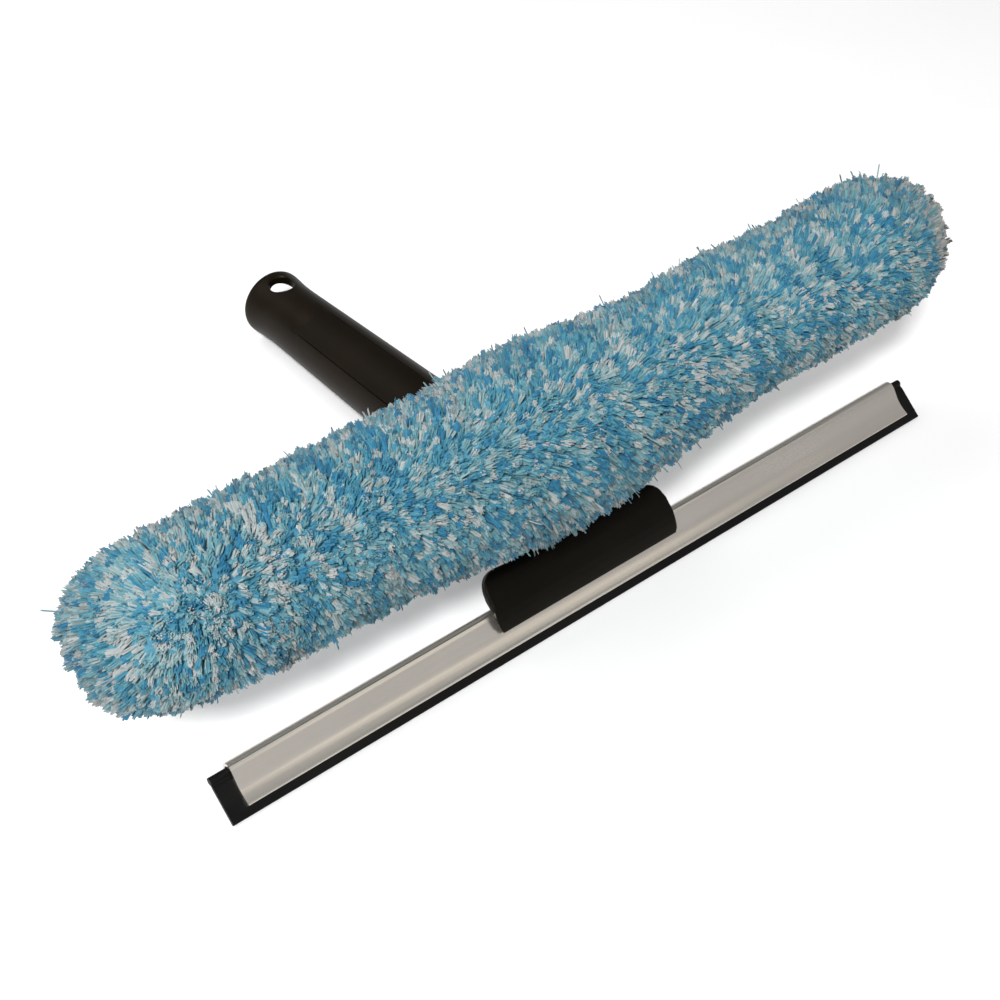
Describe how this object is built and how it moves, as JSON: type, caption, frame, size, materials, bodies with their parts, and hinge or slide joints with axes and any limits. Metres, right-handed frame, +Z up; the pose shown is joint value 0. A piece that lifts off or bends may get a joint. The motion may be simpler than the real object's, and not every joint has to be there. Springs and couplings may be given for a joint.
{
  "type": "window squeegee with washer sleeve",
  "caption": "Hand tool for windows: a rubber blade in an aluminium channel and a fluffy washer sleeve on a T-bar, on one short handle with a pole socket.",
  "frame": {"origin": "middle of the part's footprint, on the ground it rests on", "axes": "+X along the blade and the sleeve, toward the sleeve's open end; +Y toward the handle's open end; +Z up"},
  "size_m": [0.394, 0.2353, 0.1132],
  "materials": {
    "handle_plastic": "semi-gloss moulded black plastic",
    "inlay_plastic": "satin black plastic",
    "head_plastic": "satin black plastic",
    "jaw_plastic": "semi-gloss black plastic",
    "bar_plastic": "matte dark grey plastic",
    "screw_steel": "zinc-plated steel",
    "clip_steel": "dark spring steel",
    "channel_aluminium": "satin anodised",
    "blade_rubber": "smooth black rubber",
    "pile_microfibre": "blue, pale teal and white microfibre tufts",
    "backing_cloth": "cream woven backing",
    "binding_tape": "cream woven tape",
    "hook_tape": "dark hook tape",
    "loop_tape": "pale loop tape"
  },
  "bodies": {
    "frame": {"handle": "handle_plastic", "grip_inlay": "inlay_plastic", "handle_screw": "screw_steel", "head": "head_plastic", "front_jaw": "jaw_plastic", "clamp_screws": "screw_steel", "neck": "head_plastic", "neck_screws": "screw_steel", "t_bar": "bar_plastic", "bar_screws": "screw_steel", "bar_cap_left": "bar_plastic", "bar_cap_right": "bar_plastic", "hook_strips": "hook_tape"},
    "blade_channel": {"channel": "channel_aluminium", "end_clip_left": "clip_steel", "end_clip_right": "clip_steel"},
    "rubber": {"rubber_blade": "blade_rubber"},
    "sleeve": {"sleeve_backing": "backing_cloth", "sleeve_pile": "pile_microfibre", "slot_binding": "binding_tape", "loop_strips": "loop_tape", "end_hem": "backing_cloth", "end_disc": "backing_cloth"}
  },
  "joints": [
    {"name": "channel_slide", "type": "slide", "parent": "frame", "child": "blade_channel", "axis": [1, 0, 0], "range_m": [-0.12, 0.12]},
    {"name": "rubber_slide", "type": "slide", "parent": "blade_channel", "child": "rubber", "axis": [1, 0, 0], "range_m": [0, 0.36]},
    {"name": "sleeve_slide", "type": "slide", "parent": "frame", "child": "sleeve", "axis": [-1, 0, 0], "range_m": [0, 0.39]}
  ]
}
